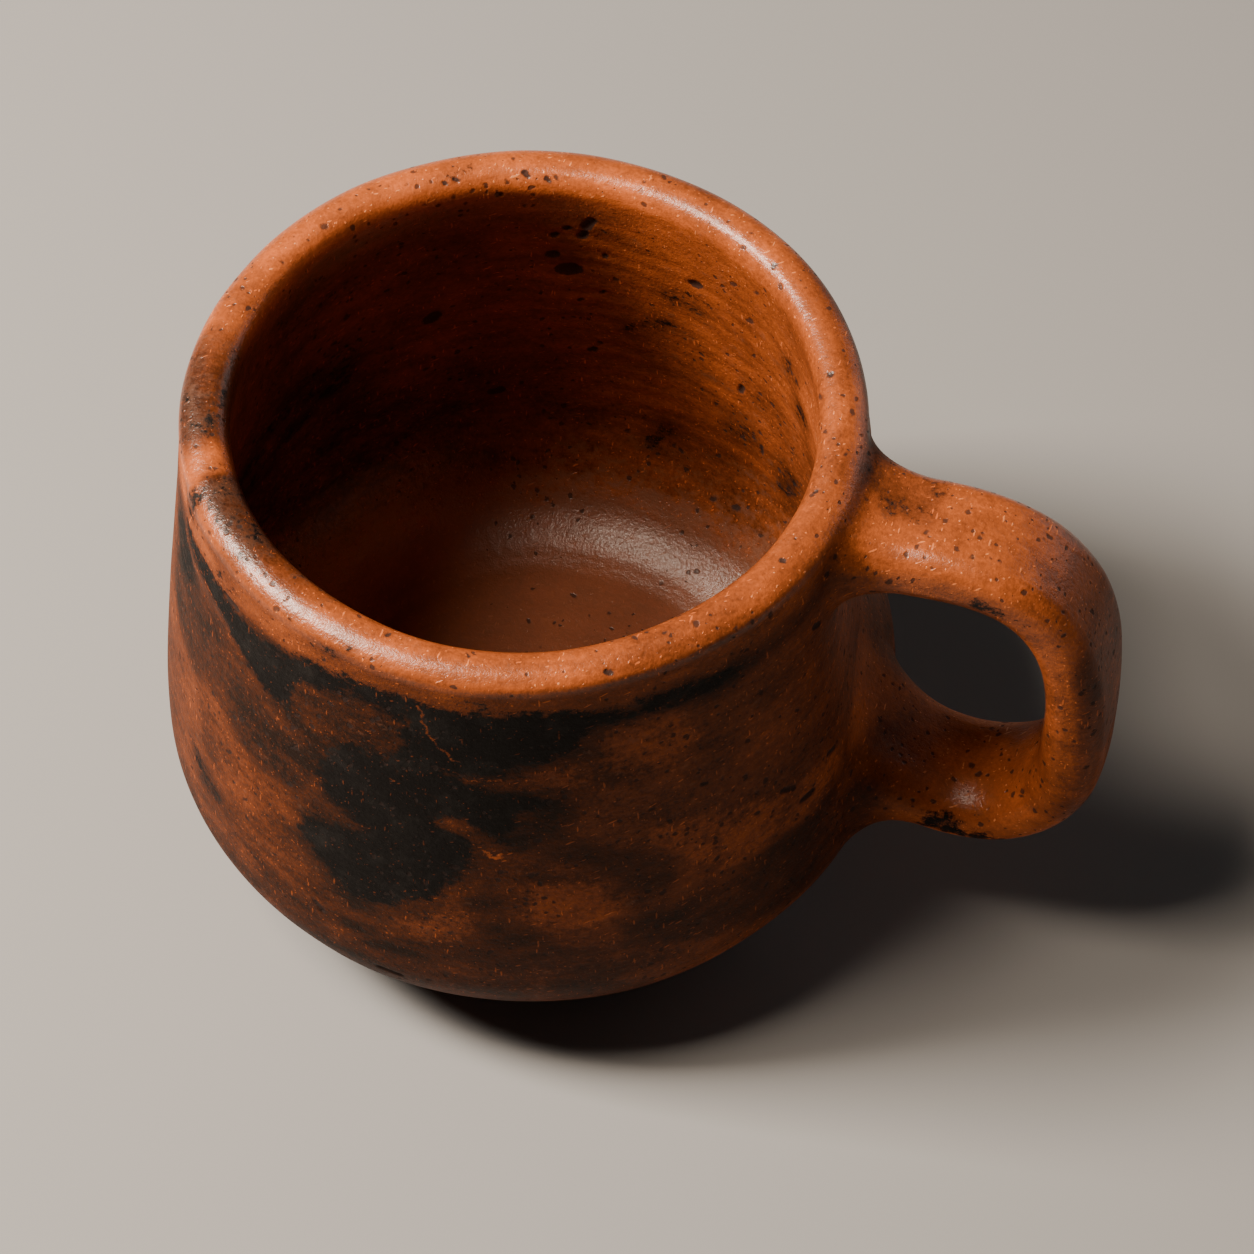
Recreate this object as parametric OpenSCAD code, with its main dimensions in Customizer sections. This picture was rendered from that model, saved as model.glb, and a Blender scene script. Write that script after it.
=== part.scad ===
// Clay cup with a round belly, a rolled lip laid on as a coil, and a strap
// handle held by a collar of joint clay at each end. The cup's axis is Z, it
// stands on its flat foot at z = 0, and the handle points along +X.

/* [Cup] */
// Outer diameter across the lip
lip_d = 90; // [84:1:96]
// Height from the foot to the top of the lip
cup_h = 85; // [78:1:92]
// Largest outer diameter, round the belly
belly_d = 103; // [98:1:110]
// Height of the belly's widest ring above the foot
belly_z = 23; // [18:1:28]
// Diameter of the flat foot
foot_d = 58; // [48:1:66]
// How far the neck stands out past the lip just below it
neck_swell = 1.2; // [0:0.2:2.4]

/* [Walls] */
// Thickness of the wall at the belly
wall_t = 5; // [4:0.25:6]
// Thickness of the rolled lip
lip_t = 6.6; // [5.6:0.2:8]
// Height of the lip coil, from its seam on the wall to its top
lip_h = 8; // [6:0.5:11]
// Thickness of the floor
floor_t = 7; // [5:0.5:9]
// Height of the bend from the floor up to the wall, inside
floor_bend_h = 17; // [12:1:22]

/* [Handle] */
// Depth of the finger gap, from the lip's outer edge to the strap
gap_depth = 28; // [22:1:34]
// Width of the strap at its upper end
strap_w = 16; // [13:0.5:20]
// Width of the strap at its lower end
strap_low_w = 17.6; // [13:0.2:22]
// Thickness of the strap
strap_t = 9.2; // [7.6:0.2:11]
// Rounding of the strap's four long edges
strap_edge_r = 3.4; // [1.6:0.2:3.6]
// Drop from the top of the lip to the middle of the upper arm
upper_drop = 10; // [9:0.5:16]
// Height of the middle of the lower arm at the belly
lower_z = 28; // [24:1:34]
// Height at which the strap reaches farthest out
reach_z = 39; // [34:1:46]
// Rise of the upper arm as it leaves the wall, in degrees
upper_rise_angle = 12; // [0:1:18]
// Droop of the lower arm as it leaves the belly, in degrees
lower_droop_angle = 33; // [15:1:38]

/* [Joint clay] */
// Length of strap that the upper collar covers
upper_collar_l = 8; // [5:0.5:11]
// Length of strap that the lower collar covers
lower_collar_l = 12; // [8:0.5:15]
// Spread of the upper collar over the strap's top
upper_top_spread = 2.8; // [1.6:0.2:4]
// Spread of the upper collar below the strap
upper_under_spread = 4.5; // [3:0.5:7]
// Spread of the lower collar above the strap, into the finger gap
lower_top_spread = 8; // [4:0.5:10]
// Spread of the lower collar below the strap
lower_under_spread = 6.5; // [3:0.5:8]
// Spread of both collars to each side
side_spread = 5; // [3:0.5:7]
// Thickness that a collar thins out to on the strap
collar_edge_t = 0.5; // [0.3:0.1:0.9]

/* [Hidden] */
$fn = 96;

// How full the curves of the wall are, as shares of the stretch that they span
foot_curve_share = 0.45;
belly_under_share = 0.4;
belly_over_share = 0.24;
neck_share = 0.2;
floor_curve_share = 0.5;

// How far the strap's curves run on straight from their ends, as shares of their spans
upper_arm_share = 0.82;
side_share = 0.86;
hook_side_share = 0.35;
hook_low_share = 0.72;

// How much the rounding of a collar's edges grows with its spread
collar_round_share = 0.7;

// Depth that the strap and the collars reach into the wall before they are cut to it
strap_root_l = 4;
collar_root_l = 0.9;

// Steps of the curves
wall_steps = 22;
lip_steps = 12;
edge_steps = 5;
collar_steps = 7;
arm_steps = 14;
hook_steps = 12;

lip_r = lip_d / 2;
belly_r = belly_d / 2;
foot_r = foot_d / 2;
lip_z = cup_h - lip_t / 2;
seam_z = cup_h - lip_h;
upper_z = cup_h - upper_drop;
reach_x = lip_r + gap_depth + strap_t / 2;

// Curves

function bezier(p, t) =
    (1 - t)^3 * p[0] + 3 * (1 - t)^2 * t * p[1] + 3 * (1 - t) * t^2 * p[2] + t^3 * p[3];

function bezier_run(p, t) =
    (1 - t)^2 * (p[1] - p[0]) + 2 * (1 - t) * t * (p[2] - p[1]) + t^2 * (p[3] - p[2]);

function bezier_points(p, steps) = [for (i = [0:steps]) bezier(p, i / steps)];

function unit(v) = v / norm(v);

function heading(a) = [cos(a), sin(a)];

// The wall's outline, as radius and height

function outer_low() = [
    [foot_r, 0],
    [foot_r + foot_curve_share * (belly_r - foot_r), 0],
    [belly_r, belly_z * (1 - belly_under_share)],
    [belly_r, belly_z]
];

function outer_high() = [
    [belly_r, belly_z],
    [belly_r, belly_z + belly_over_share * (lip_z - belly_z)],
    [lip_r + neck_swell, lip_z - neck_share * (lip_z - belly_z)],
    [lip_r, lip_z]
];

bend_z = floor_t + floor_bend_h;
inner_r = belly_r - wall_t;

function inner_high() = [
    [lip_r - lip_t, lip_z],
    [lip_r - lip_t + neck_swell, lip_z - neck_share * (lip_z - bend_z)],
    [inner_r, bend_z + belly_over_share * (lip_z - bend_z)],
    [inner_r, bend_z]
];

function inner_low() = [
    [inner_r, bend_z],
    [inner_r, bend_z - floor_curve_share * floor_bend_h],
    [foot_r + floor_curve_share * (inner_r - foot_r), floor_t],
    [foot_r, floor_t]
];

outer_points = concat(
    bezier_points(outer_low(), wall_steps),
    [for (i = [1:wall_steps]) bezier(outer_high(), i / wall_steps)]
);

lip_points = [
    for (i = [1:lip_steps - 1])
        [lip_r - lip_t / 2, lip_z] + lip_t / 2 * heading(180 * i / lip_steps)
];

inner_points = concat(
    bezier_points(inner_high(), wall_steps),
    [for (i = [1:wall_steps]) bezier(inner_low(), i / wall_steps)]
);

outer_radii = [for (p = outer_points) [p[1], p[0]]];

function wall_r(z) = lookup(z, outer_radii);

module wall_outline() {
    polygon(concat([[0, 0]], outer_points, lip_points, inner_points, [[0, floor_t]]));
}

module lip_band() {
    translate([0, seam_z])
        square([belly_r, lip_h]);
}

module filled_cup() {
    rotate_extrude()
        polygon(concat([[0, 0]], outer_points, lip_points, [[0, lip_z]]));
}

// The strap's path in the XZ plane, from the upper root round to the lower root

upper_root = [wall_r(upper_z), upper_z];
lower_root = [wall_r(lower_z), lower_z];
reach = [reach_x, reach_z];
upper_span = reach_x - upper_root[0];
lower_span = reach_x - lower_root[0];

upper_path = [
    upper_root,
    upper_root + upper_arm_share * upper_span * heading(upper_rise_angle),
    reach + [0, side_share * (upper_z - reach_z)],
    reach
];

lower_path = [
    reach,
    reach - [0, hook_side_share * lower_span],
    lower_root + hook_low_share * lower_span * heading(-lower_droop_angle),
    lower_root
];

// Places along the path run from 0 at the upper root to 2 at the lower root

function place(u) = u <= 1 ? bezier(upper_path, u) : bezier(lower_path, u - 1);

function run(u) = unit(u <= 1 ? bezier_run(upper_path, u) : bezier_run(lower_path, u - 1));

function outward(u) = [-run(u)[1], run(u)[0]];

// Share of the path that a collar covers, from its length and the path's pace at the root
upper_collar_end = upper_collar_l / (3 * norm(upper_path[1] - upper_path[0]));
lower_collar_end = lower_collar_l / (3 * norm(lower_path[3] - lower_path[2]));

upper_collar_places = [for (i = [0:collar_steps]) upper_collar_end * i / collar_steps];
lower_collar_places = [for (i = [collar_steps:-1:0]) 2 - lower_collar_end * i / collar_steps];

strap_places = concat(
    upper_collar_places,
    [for (i = [1:arm_steps - 1]) upper_collar_end + (1 - upper_collar_end) * i / arm_steps],
    [for (i = [0:hook_steps - 1]) 1 + (1 - lower_collar_end) * i / hook_steps],
    lower_collar_places
);

// The strap's section, as a distance towards the loop's outside and a place across it

function section(w, outer_t, inner_t, r) = [
    for (c = [0:3], k = [0:edge_steps])
        let (
            a = 90 * (c + k / edge_steps),
            n = c == 0 || c == 3 ? outer_t - r : r - inner_t,
            y = c < 2 ? w / 2 - r : r - w / 2
        )
        [n, y] + r * heading(a)
];

function width_at(u) = strap_w + (strap_low_w - strap_w) * u / 2;

function strap_section(u, extra) =
    section(width_at(u) + 2 * extra, strap_t / 2 + extra, strap_t / 2 + extra, strap_edge_r + extra);

function strap_ring(u, sunk, extra) =
    let (c = place(u) - sunk * run(u), n = outward(u))
    [for (s = strap_section(u, extra)) [c[0] + s[0] * n[0], s[1], c[1] + s[0] * n[1]]];

// Faces of a loft, ring by ring

function loft_faces(rings, points, last) = [
    for (i = [0:last], k = [0:points - 1])
        let (
            a = i * points + k,
            b = i * points + (k + 1) % points,
            c = (i + 1) % rings * points + k,
            d = (i + 1) % rings * points + (k + 1) % points
        )
        each [[a, c, b], [b, c, d]]
];

module capped_loft(rings) {
    points = len(rings[0]);
    last = len(rings) - 1;
    polyhedron(
        points = [for (r = rings) each r],
        faces = concat(
            loft_faces(last + 1, points, last - 1),
            [[for (k = [0:points - 1]) k]],
            [[for (k = [points - 1:-1:0]) last * points + k]]
        )
    );
}

module ring_loft(rings) {
    points = len(rings[0]);
    polyhedron(
        points = [for (r = rings) each r],
        faces = loft_faces(len(rings), points, len(rings) - 1)
    );
}

// A collar: a fillet from the strap out to a wider footprint on the wall

function on_wall(y, z, sunk) =
    [sqrt((wall_r(z) - sunk)^2 - y^2), y, z];

function wall_ring(root_z, slope, points, sunk) =
    [for (s = points) on_wall(s[1], root_z + s[0] / slope, sunk)];

function blend(a, b, c, t) =
    [for (i = [0:len(a) - 1]) (1 - t)^2 * a[i] + 2 * (1 - t) * t * b[i] + t^2 * c[i]];

module collar(u_root, u_end, root_sunk, root_z, outer_spread, inner_spread) {
    slope = outward(u_root)[1];
    grow = min(outer_spread, inner_spread, side_spread);
    footprint = section(
        width_at(u_root) + 2 * side_spread,
        strap_t / 2 + outer_spread,
        strap_t / 2 + inner_spread,
        strap_edge_r + collar_round_share * grow
    );
    rim = strap_ring(u_end, 0, collar_edge_t);
    corner = wall_ring(root_z, slope, strap_section(u_root, collar_edge_t), 0);
    spread = wall_ring(root_z, slope, footprint, collar_root_l);
    outside = [for (i = [0:collar_steps]) blend(rim, corner, spread, i / collar_steps)];
    inside = concat(
        [strap_ring(u_root, root_sunk, 0)],
        [for (i = [0:collar_steps]) strap_ring(u_root + (u_end - u_root) * i / collar_steps, 0, 0)]
    );
    ring_loft(concat(outside, inside));
}

// Pieces

module cup_body() {
    color("#a4562f")
        rotate_extrude()
            difference() {
                wall_outline();
                lip_band();
            }
}

module lip_coil() {
    color("#bd6a3c")
        rotate_extrude()
            intersection() {
                wall_outline();
                lip_band();
            }
}

module handle() {
    color("#b2603a")
        difference() {
            capped_loft(concat(
                [strap_ring(0, strap_root_l, 0)],
                [for (u = strap_places) strap_ring(u, 0, 0)],
                [strap_ring(2, -strap_root_l, 0)]
            ));
            filled_cup();
        }
}

module upper_handle_joint() {
    color("#9c4f2b")
        difference() {
            collar(0, upper_collar_end, strap_root_l, upper_z, upper_top_spread, upper_under_spread);
            filled_cup();
        }
}

module lower_handle_joint() {
    color("#94492a")
        difference() {
            collar(2, 2 - lower_collar_end, -strap_root_l, lower_z, lower_under_spread, lower_top_spread);
            filled_cup();
        }
}

cup_body();
lip_coil();
handle();
upper_handle_joint();
lower_handle_joint();
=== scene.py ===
"""A burnished, pit-fired clay cup: a round body, a rolled lip laid on as a coil, and a strap handle
held by a collar of joint clay at each end. Lengths are in millimetres until a piece is finished."""

import bmesh
import bpy
import numpy as np
from math import cos, pi, radians, sin, sqrt
from mathutils import Matrix, Vector, noise
from mathutils.geometry import interpolate_bezier
from types import SimpleNamespace


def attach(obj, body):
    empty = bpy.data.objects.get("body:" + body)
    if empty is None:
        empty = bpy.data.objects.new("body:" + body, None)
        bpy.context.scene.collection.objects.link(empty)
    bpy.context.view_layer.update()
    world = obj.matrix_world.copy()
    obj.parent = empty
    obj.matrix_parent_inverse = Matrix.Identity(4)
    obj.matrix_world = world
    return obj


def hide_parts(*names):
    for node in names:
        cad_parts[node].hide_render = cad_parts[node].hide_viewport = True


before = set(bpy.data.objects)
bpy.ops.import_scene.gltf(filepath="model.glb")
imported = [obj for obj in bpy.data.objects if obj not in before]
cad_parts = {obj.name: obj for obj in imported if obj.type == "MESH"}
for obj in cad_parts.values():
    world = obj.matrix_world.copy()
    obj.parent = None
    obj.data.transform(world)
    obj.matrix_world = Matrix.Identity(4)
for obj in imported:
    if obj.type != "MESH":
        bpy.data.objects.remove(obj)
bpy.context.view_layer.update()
MM = 0.001
# Fixes the noise, whose seed otherwise comes from the clock
noise.seed_set(7)

# The cup's sizes, as in the frame
LIP_R = 45
LIP_T = 6.6
LIP_Z = 81.7
TOP_Z = 85
LIP_MIDDLE_R = LIP_R - LIP_T / 2
LIP_INNER_R = LIP_R - LIP_T
SEAM_Z = 77
BELLY_R = 51.5
BELLY_Z = 23
FOOT_R = 29
INNER_R = 46.5
BEND_Z = 24
FLOOR_Z = 7
STEPS_ROUND = 400

# The wall's outline as distance from the axis and height, up the outside, over the lip and down inside
OUTER_LOW = [(FOOT_R, 0), (39.1, 0), (BELLY_R, 13.8), (BELLY_R, BELLY_Z)]
OUTER_HIGH = [(BELLY_R, BELLY_Z), (BELLY_R, 37.1), (46.2, 69.96), (LIP_R, LIP_Z)]
LIP_OUTSIDE = [(LIP_R, LIP_Z), (LIP_R, 82.75), (44.86, 83.3), (44.45, 83.72)]
LIP_SLOPE = [(44.45, 83.72), (44.04, 84.14), (43, 84.97), (41.5, TOP_Z)]
LIP_INSIDE = [(41.5, TOP_Z), (39.7, TOP_Z), (LIP_INNER_R, 83.9), (LIP_INNER_R, LIP_Z)]
INNER_HIGH = [(LIP_INNER_R, LIP_Z), (39.6, 70.16), (INNER_R, 37.85), (INNER_R, BEND_Z)]
INNER_LOW = [(INNER_R, BEND_Z), (INNER_R, 15.5), (37.75, FLOOR_Z), (FOOT_R, FLOOR_Z)]

# The strap's path, drawn the same way, its section, and its widths at lengths along it
UPPER_ARM = [(45.8, 75), (71.3, 80.4), (77.6, 70), (77.6, 39)]
LOWER_ARM = [(77.6, 39), (77.6, 29.8), (67.2, 17.7), (51.3, 28)]
STRAP_T = 9.2
STRAP_EDGE_R = 3.4
STRAP_STATIONS = 170
STRAP_WIDTHS = [(0, 16), (60, 17), (76, 18.4), (96, 18.4)]
STRAP_SWELL = [(66, 0), (78, 0.35)]
STRAP_OVAL = [(40, 0.15), (72, 0.95)]
THUMB_THINNING = [(0, 0), (9, -0.2), (16, 0.5), (24, 1.1), (32, 1.4), (43, 1.0), (53, 0.3), (62, 0)]


def put_in_scene(name, data):
    thing = bpy.data.objects.new(name, data)
    bpy.context.scene.collection.objects.link(thing)
    return thing


def photo_camera():
    """Stands where the photograph was taken from."""
    turn, rise, distance = radians(16.8), radians(54.55), 0.5714
    back = Vector((sin(turn) * cos(rise), -cos(turn) * cos(rise), sin(rise)))
    looked_at = Vector((12.76, 3.85, 34.2)) * MM
    data = bpy.data.cameras.new("photo_camera")
    data.lens = 117.2
    data.sensor_width = 36
    camera = put_in_scene("photo_camera", data)
    camera.location = looked_at + back * distance
    camera.rotation_euler = back.to_track_quat("Z", "Y").to_euler()
    bpy.context.scene.camera = camera


photo_camera()


# Places on the cup


def curve(points, steps):
    """Points along one bend of an outline."""
    ends = [Vector((r, 0, z)) for r, z in points]
    return interpolate_bezier(*ends, steps + 1)


LIP_LINE = curve(LIP_OUTSIDE, 9) + curve(LIP_SLOPE, 13)[1:] + curve(LIP_INSIDE, 20)[1:]
OUTER_LINE = curve(OUTER_LOW, 60) + curve(OUTER_HIGH, 90)[1:] + LIP_LINE[1:19]
OUTER_RS = np.array([p.x for p in OUTER_LINE])
OUTER_ZS = np.array([p.z for p in OUTER_LINE])
INNER_LINE = (curve(INNER_HIGH, 90) + curve(INNER_LOW, 60)[1:])[::-1]
INNER_RS = np.array([p.x for p in INNER_LINE])
INNER_ZS = np.array([p.z for p in INNER_LINE])

# A point of the wall this far within the outer wall's line lies on the inside
INSIDE_BY = 2


def wall_rs(heights):
    """The outer wall's distances from the axis at many heights."""
    return np.interp(heights, OUTER_ZS, OUTER_RS)


def wall_r(z):
    return float(wall_rs(z))


def off_axis(p):
    return sqrt(p.x * p.x + p.y * p.y)


def round_axis(r, angle, z):
    return Vector((r * cos(radians(angle)), r * sin(radians(angle)), z))


def on_wall(angle, z):
    return round_axis(wall_r(z), angle, z)


def inside_wall(angle, z):
    return round_axis(float(np.interp(z, INNER_ZS, INNER_RS)), angle, z)


def lip_roll(r, z):
    """How far round the lip a place lies, in degrees, from 0 at its outside over 90 on its top."""
    return np.degrees(np.arctan2(z - LIP_Z, r - LIP_MIDDLE_R))


LIP_ROLLS = [float((lip_roll(p.x, p.z) + 90) % 360 - 90) for p in LIP_LINE]


def on_lip(angle, roll):
    """roll is 0 at the lip's outside, 90 on its top and 180 at its inside."""
    r = float(np.interp(roll, LIP_ROLLS, [p.x for p in LIP_LINE]))
    z = float(np.interp(roll, LIP_ROLLS, [p.z for p in LIP_LINE]))
    return round_axis(r, angle, z)


def read_off(table, at):
    """The value at a place between a table's rows, each a place and the value there."""
    places, values = zip(*table)
    return np.interp(at, places, values)


def smooth_share(value, low, high):
    t = min(max((value - low) / (high - low), 0), 1)
    return t * t * (3 - 2 * t)


def ramp(values, zero_at, one_at):
    """An even slope between two values, flat beyond them. Either may be the higher one."""
    return np.clip((values - zero_at) / (one_at - zero_at), 0, 1)


# Places on the strap


def evenly_spaced(line, count):
    """Points at equal steps along a line."""
    line = np.array([tuple(p) for p in line])
    run = np.r_[0, np.cumsum(np.linalg.norm(np.diff(line, axis=0), axis=1))]
    at = np.linspace(0, run[-1], count)
    return [Vector([float(np.interp(a, run, line[:, i])) for i in range(3)]) for a in at]


PATH = evenly_spaced(curve(UPPER_ARM, 400) + curve(LOWER_ARM, 300)[1:], STRAP_STATIONS)
STRAP_RUN = [i * (PATH[1] - PATH[0]).length for i in range(STRAP_STATIONS)]
LAST = STRAP_STATIONS - 1


def strap_frame(i):
    """Middle of the strap at a station, the way it runs, and the way its outer face looks."""
    before, after = PATH[max(i - 1, 0)], PATH[min(i + 1, LAST)]
    run = (after - before).normalized()
    return PATH[i], run, Vector((-run.z, 0, run.x))


def station_at(length):
    """The station that a length of strap from the upper root reaches."""
    run, i = 0.0, 0
    while run < length:
        run += (PATH[i + 1] - PATH[i]).length
        i += 1
    return i


# What the potter's hands left on the form, and how deep

WANDER = 0.34
WANDER_SPAN = 26
STONE_FLATS = 0.07
STONE_FLATS_SPAN = 8
PRESS_DEPTH = 4.4
PRESS_MIDDLE_ANGLE = 17
LAP_RISE = 0.42
LAP_ANGLE = -146.5
LAP_FADES_OUT = -104
WALL_RIDGE = 0.05
WALL_RIDGE_STEP = 3.6
FLOOR_RIDGE = 0.07
FLOOR_RIDGE_STEP = 4.6


def hand_wander(p):
    """The slow unevenness of hand work, and the small flats that the burnishing stone left."""
    slow = noise.noise_vector(p / WANDER_SPAN) * WANDER
    flats = noise.noise_vector(p / STONE_FLATS_SPAN + Vector((31, 7, 19))) * STONE_FLATS
    return (slow + flats) * smooth_share(p.z, 0, FLOOR_Z)


def press_at_handle(p):
    """The wall gave way between the two joints when the handle was pressed on."""
    r = off_axis(p)
    off = abs(np.degrees(np.arctan2(p.y, p.x)) - PRESS_MIDDLE_ANGLE)
    up = smooth_share(p.z, 28, 44) * (1 - smooth_share(p.z, 65, SEAM_Z))
    near = (1 - smooth_share(off, 8, 40)) * (1 - smooth_share(r, 54, 60))
    outside = 0.35 + 0.65 * smooth_share(r - wall_r(p.z), -4.6, -1)
    return Vector((-p.x, -p.y, 0)) / max(r, 1) * PRESS_DEPTH * up * near * outside


def lip_lap(p):
    """The coil's end laps over its start and stands a little proud, with a rounded end."""
    angle = float(np.degrees(np.arctan2(p.y, p.x)))
    if p.z < 70 or not -156 < angle < -100:
        return Vector()
    rounded_end = LAP_ANGLE + 0.10 * max(78 - p.z, 0) ** 2
    step = smooth_share(angle, rounded_end - 0.7, rounded_end + 0.9)
    fade = 1 - smooth_share(angle, -138, LAP_FADES_OUT)
    r = off_axis(p)
    up = smooth_share(p.z, 70.5, 73)
    out = Vector((p.x / r, p.y / r, 0.6)).normalized()
    outside = smooth_share(r, LIP_INNER_R + 0.2, 42)
    return out * LAP_RISE * step * fade * up * outside


def throwing_ridges(p):
    """Soft rings that the fingers left on the inner wall and the floor."""
    r = off_axis(p)
    if r > wall_r(p.z) - INSIDE_BY or not FLOOR_Z - 0.5 < p.z < 80:
        return Vector()
    turn = float(np.arctan2(p.y, p.x)) + noise.noise(p / 14) * 3
    if r < 33 and p.z < 9:
        return Vector((0, 0, FLOOR_RIDGE * sin(2 * pi * r / FLOOR_RIDGE_STEP + turn)))
    swell = WALL_RIDGE * sin(2 * pi * p.z / WALL_RIDGE_STEP + turn)
    return Vector((p.x, p.y, 0)) / max(r, 1) * swell * smooth_share(80 - p.z, 0, 8)


# Pits and chips: a place, the place that it runs to, a radius and a depth. On the lip a place is an
# angle and a roll, and elsewhere an angle and a height.

WALL_PITS = [
    (-129.5, 77, -126.2, 76.9, 0.55, 0.45),
    (-25.8, 41.7, -23.4, 41.6, 0.6, 0.35),
    (-29.6, 47.1, -27.4, 45.9, 0.5, 0.25),
    (-18.5, 45.2, -16.4, 44.3, 0.4, 0.2),
    (-96.6, 20.7, -93.2, 20.4, 0.55, 0.4),
    (-84.2, 48.6, -83.6, 48.4, 0.45, 0.25),
    (-44.2, 58.2, -43.6, 58, 0.35, 0.2),
    (-107.2, 29.9, -105.8, 28.8, 0.45, 0.25),
    (-19, 72.4, -17.6, 71.7, 0.5, 0.2),
    (152, 46, 154, 45.4, 0.55, 0.3),
    (84, 61, 85, 60.2, 0.45, 0.25),
    (118, 28, 119.5, 28.3, 0.5, 0.3),
    (176, 64, 176.8, 63, 0.4, 0.25),
]
INSIDE_PITS = [
    (98.9, 63.4, 100.4, 63, 1.5, 0.5),
    (102.4, 67, 102.9, 66.9, 0.9, 0.4),
    (101.9, 72, 102.3, 71.8, 0.55, 0.3),
    (99.2, 73.9, 99.8, 73.7, 0.5, 0.25),
    (94.3, 76.4, 95.6, 74.6, 0.8, 0.4),
    (95.9, 73, 96.6, 72, 0.7, 0.35),
    (92, 68.2, 92.1, 67.8, 0.45, 0.2),
    (71.6, 69.3, 72.6, 68.7, 0.95, 0.4),
    (64.2, 47.6, 65.2, 45.5, 0.5, 0.35),
    (97.4, 55.6, 97.8, 55.4, 0.4, 0.2),
    (96, 41.8, 96.6, 41.4, 0.6, 0.3),
    (93, 58.4, 93.4, 58, 0.35, 0.2),
    (126, 53.6, 127, 52.6, 1.1, 0.3),
    (65.2, 17.4, 65.8, 17.2, 0.45, 0.25),
    (113.6, 29.8, 115, 29.4, 0.8, 0.2),
    (61, 34.6, 61.2, 32.4, 0.35, 0.2),
    (-60, 50, -59, 49.4, 0.7, 0.3),
    (-12, 36, -11, 35, 0.6, 0.3),
]
LIP_PITS = [
    (-58.6, 52, -58.2, 47, 0.4, 0.3),
    (-97.4, 106, -97.2, 112, 0.28, 0.2),
    (107.2, 133, 107.8, 126, 0.42, 0.3),
    (121.2, 130, 121.6, 124, 0.36, 0.3),
    (123.6, 131, 123.8, 127, 0.32, 0.25),
    (103, 141, 103.4, 137, 0.36, 0.25),
    (23.1, 118, 23.3, 114, 0.3, 0.2),
    (-21.4, 92, -21.2, 88, 0.34, 0.25),
    (-82.2, 112, -82, 106, 0.26, 0.2),
    (-4.4, 120, -4.2, 116, 0.3, 0.2),
    (51.6, 122, 51.9, 117, 0.34, 0.2),
    (113, 192, 113.2, 188, 0.5, 0.35),
]
# How far from its start a pit may reach, how much of its depth it sinks the clay by, and where its flat
# floor and its edge lie as shares of its radius
PIT_REACH = 3
PIT_SINK = 0.55
PIT_FLOOR, PIT_EDGE = 0.3, 1.3


def runs_on(place, rows):
    """The same rows with their two ends laid on a part of the cup."""
    return [(place(a, b), place(c, d), radius, depth) for a, b, c, d, radius, depth in rows]


def wall_line(*places):
    return [on_wall(*place) for place in places]


PITS = runs_on(on_wall, WALL_PITS) + runs_on(inside_wall, INSIDE_PITS) + runs_on(on_lip, LIP_PITS)

# The crack under the lip, the edge of the coil's smeared end and other fine lines where paler clay
# shows, each with the reach of its paler clay
CRACK = wall_line(
    (-89.8, 78.3), (-88.9, 77), (-89.3, 75.8), (-88.2, 74.7), (-88.3, 73.5), (-86.9, 72.6), (-86.5, 71.2),
    (-84.9, 70.7), (-84.2, 69.5), (-82.9, 69.3),
)
CRACK_TAIL = wall_line((-86.6, 67.6), (-83.4, 67.3), (-82, 66), (-76.4, 66.6))
CRACK_RIDGE = wall_line((-89.4, 74.5), (-89.2, 69), (-89.9, 63))
COIL_EDGE = wall_line(
    (-141.6, 82.7), (-144, 79), (-144.8, 76.4), (-142, 75), (-139, 74.3), (-134.8, 73.4), (-130, 72.6),
)
COIL_SMEAR = wall_line((-126, 73.4), (-121, 74.6), (-117.7, 76.4))
BELLY_SCRATCH = wall_line((-129, 28.9), (-122, 28), (-115.6, 26.2))
EMBER = wall_line((-79, 52.4), (-77.8, 51.4), (-76.4, 51.8))
CHIP = wall_line((-94.3, 62.9), (-93.5, 62.6))
SCARS = [
    (CRACK, 0.24),
    (CRACK_TAIL, 0.14),
    (CRACK_RIDGE, 0.02),
    (COIL_EDGE, 0.14),
    (COIL_SMEAR, 0.04),
    (BELLY_SCRATCH, 0.06),
    (CHIP, 0.22),
    (EMBER, 0.55),
]
FINE_LINES = [CRACK, CRACK_TAIL, COIL_EDGE, BELLY_SCRATCH, CHIP, CRACK_RIDGE]


def run_distance(points, line):
    """How far each point is from a run of straight pieces."""
    nearest = np.full(len(points), 1e6)
    for start, end in zip(line, line[1:]):
        start, step = np.array(start), np.array(end) - np.array(start)
        along = np.clip((points - start) @ step / max(step @ step, 1e-9), 0, 1)
        nearest = np.minimum(nearest, np.linalg.norm(points - start - along[:, None] * step, axis=1))
    return nearest


# Fire clouds on the outer wall: how deep each may get, and its outline as angles and heights

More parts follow.
